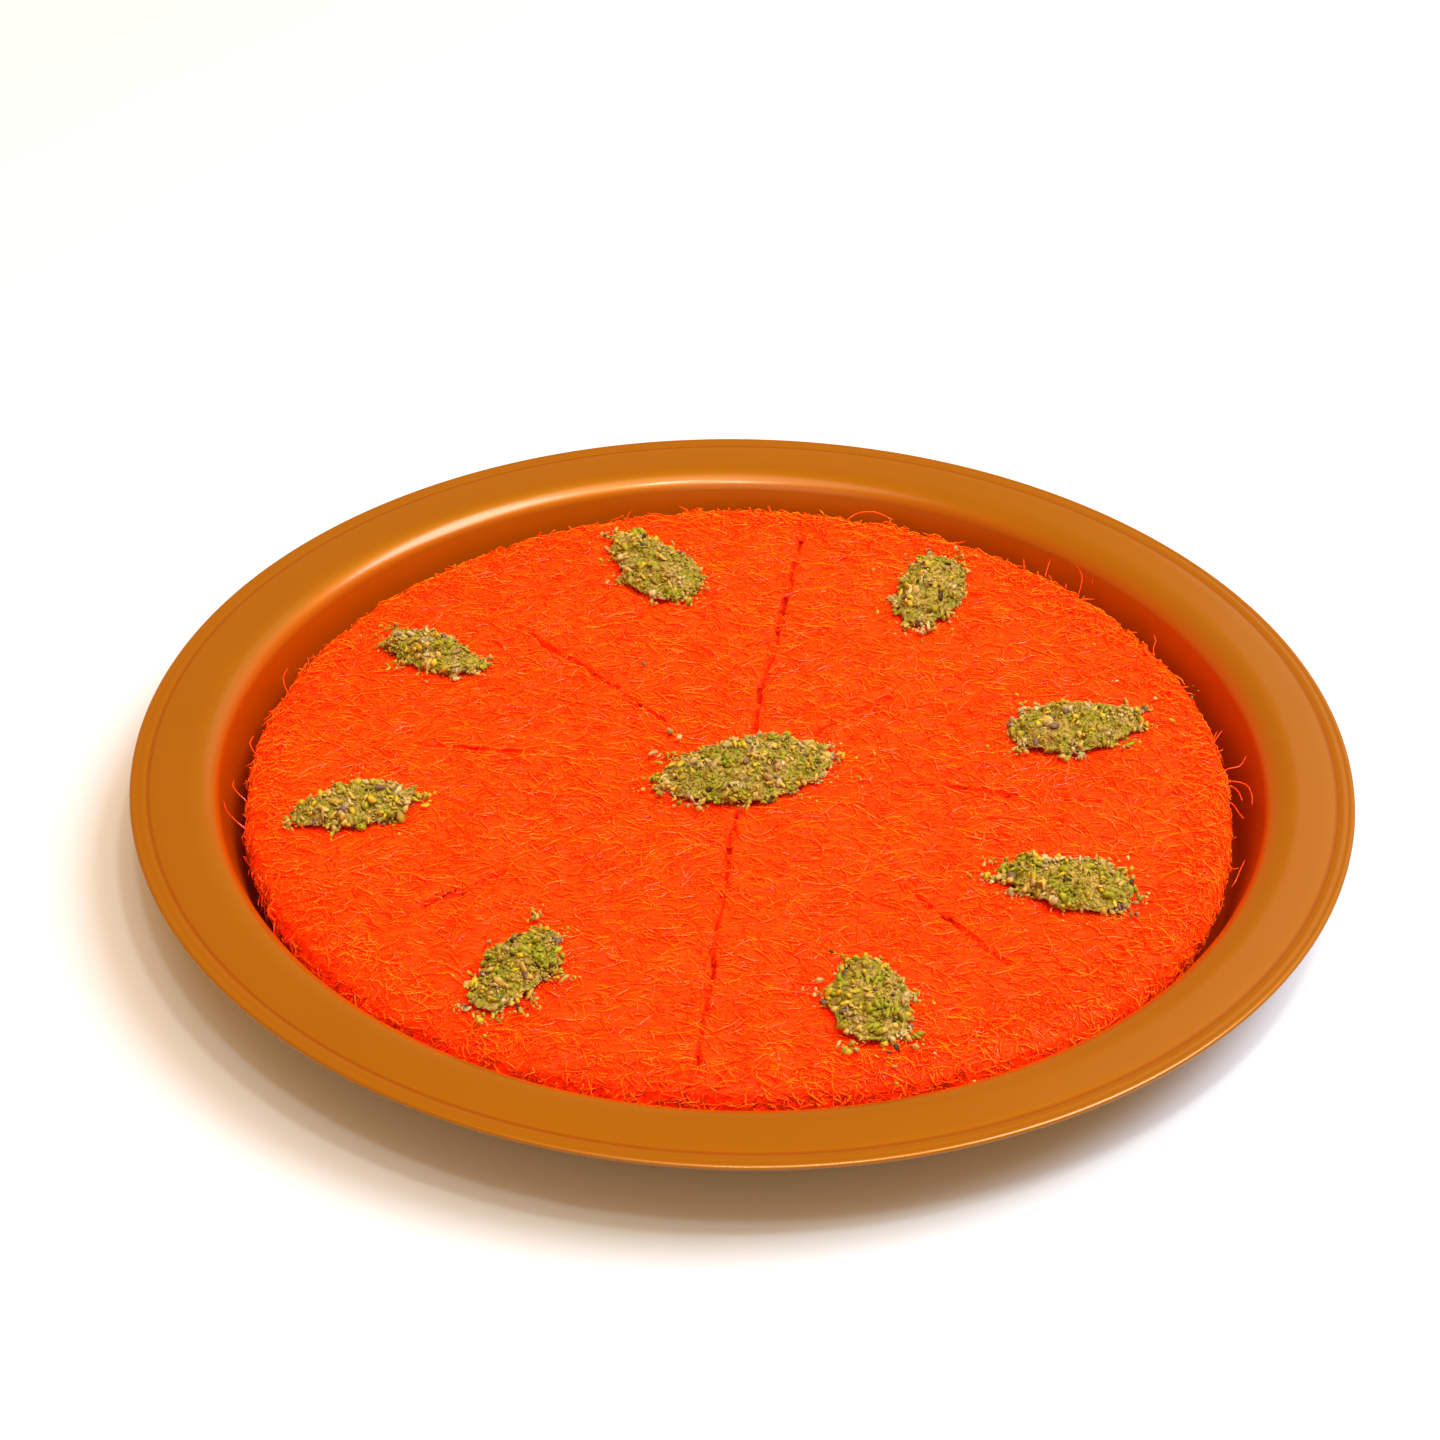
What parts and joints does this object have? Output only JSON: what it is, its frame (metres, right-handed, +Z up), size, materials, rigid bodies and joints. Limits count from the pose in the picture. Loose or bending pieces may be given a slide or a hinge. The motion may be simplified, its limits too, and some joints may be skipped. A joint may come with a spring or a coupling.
{
  "type": "tray of kunafa",
  "caption": "Round flat cake of orange shredded pastry, scored into slices and topped with heaps of ground pistachio, in a shallow gold tray with a wide flange.",
  "frame": {"origin": "centre of the tray's underside", "axes": "+Z up through the tray's centre, -Y towards the side that the picture looks from, +X to the picture's right"},
  "size_m": [0.36, 0.36, 0.0313],
  "materials": {
    "gold_lacquered_aluminium": "satin gold-brown lacquer on spun sheet",
    "shredded_pastry": "fine orange shreds, sticky and glossy with syrup",
    "ground_pistachio": "dry coarse nut grains, olive and yellow-green with dark skins"
  },
  "bodies": {
    "root": {"tray": "gold_lacquered_aluminium", "pastry": "shredded_pastry", "pistachio_centre": "ground_pistachio", "pistachio_right": "ground_pistachio", "pistachio_back_right": "ground_pistachio", "pistachio_back_left": "ground_pistachio", "pistachio_left_back": "ground_pistachio", "pistachio_left_front": "ground_pistachio", "pistachio_front_left": "ground_pistachio", "pistachio_front_right": "ground_pistachio", "pistachio_right_front": "ground_pistachio"}
  },
  "joints": []
}
